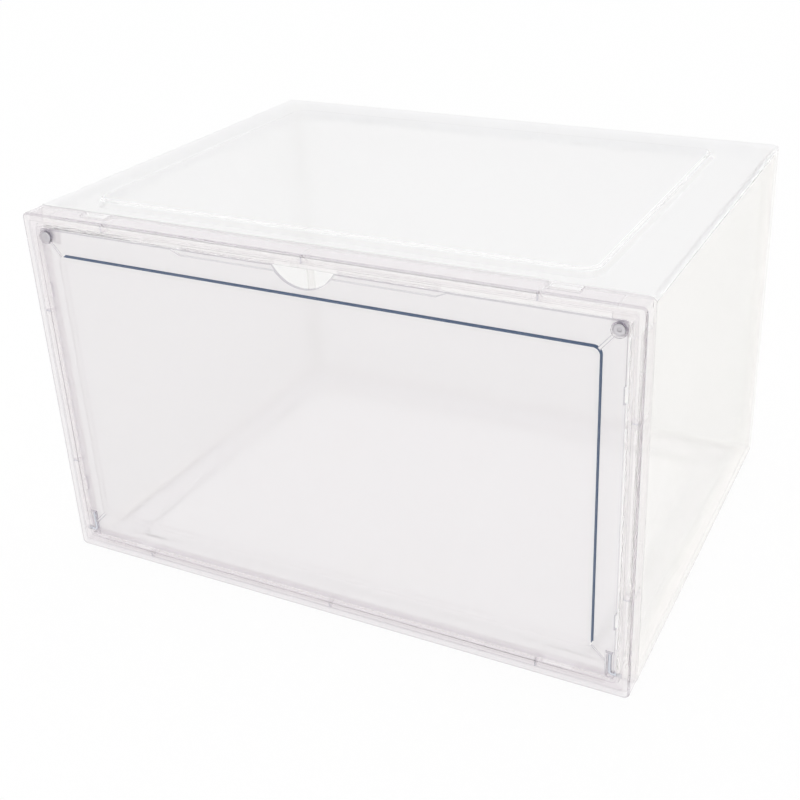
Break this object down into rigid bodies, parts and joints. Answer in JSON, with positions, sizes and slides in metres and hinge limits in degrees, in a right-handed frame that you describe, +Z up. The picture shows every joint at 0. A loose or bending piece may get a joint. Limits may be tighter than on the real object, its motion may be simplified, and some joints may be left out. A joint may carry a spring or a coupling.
{
  "type": "storage box",
  "caption": "Clear stackable storage box with a magnetic front door that drops down on bottom corner pins.",
  "frame": {"origin": "on the ground under the middle of the box", "axes": "+Z up, +X across the door to the right as seen from the front, +Y from the door to the back"},
  "size_m": [0.36, 0.28, 0.2245],
  "materials": {
    "frame_plastic": "clear polished moulding",
    "door_plastic": "clear polished moulding",
    "body_plastic": "clear polished moulding",
    "magnet_metal": "nickel plate",
    "pin_steel": "drawn steel wire"
  },
  "bodies": {
    "case": {"front_frame": "frame_plastic", "top_panel": "body_plastic", "bottom_panel": "body_plastic", "left_panel": "body_plastic", "right_panel": "body_plastic", "back_panel": "body_plastic", "frame_magnet_left": "magnet_metal", "frame_magnet_right": "magnet_metal"},
    "door": {"door_panel": "door_plastic", "door_magnet_left": "magnet_metal", "door_magnet_right": "magnet_metal", "hinge_pin_left": "pin_steel", "hinge_pin_right": "pin_steel"}
  },
  "joints": [
    {"name": "door_hinge", "type": "hinge", "parent": "case", "child": "door", "pos_m": [0, -0.1374, 0.012], "axis": [1, 0, 0], "range_deg": [0, 90]}
  ]
}
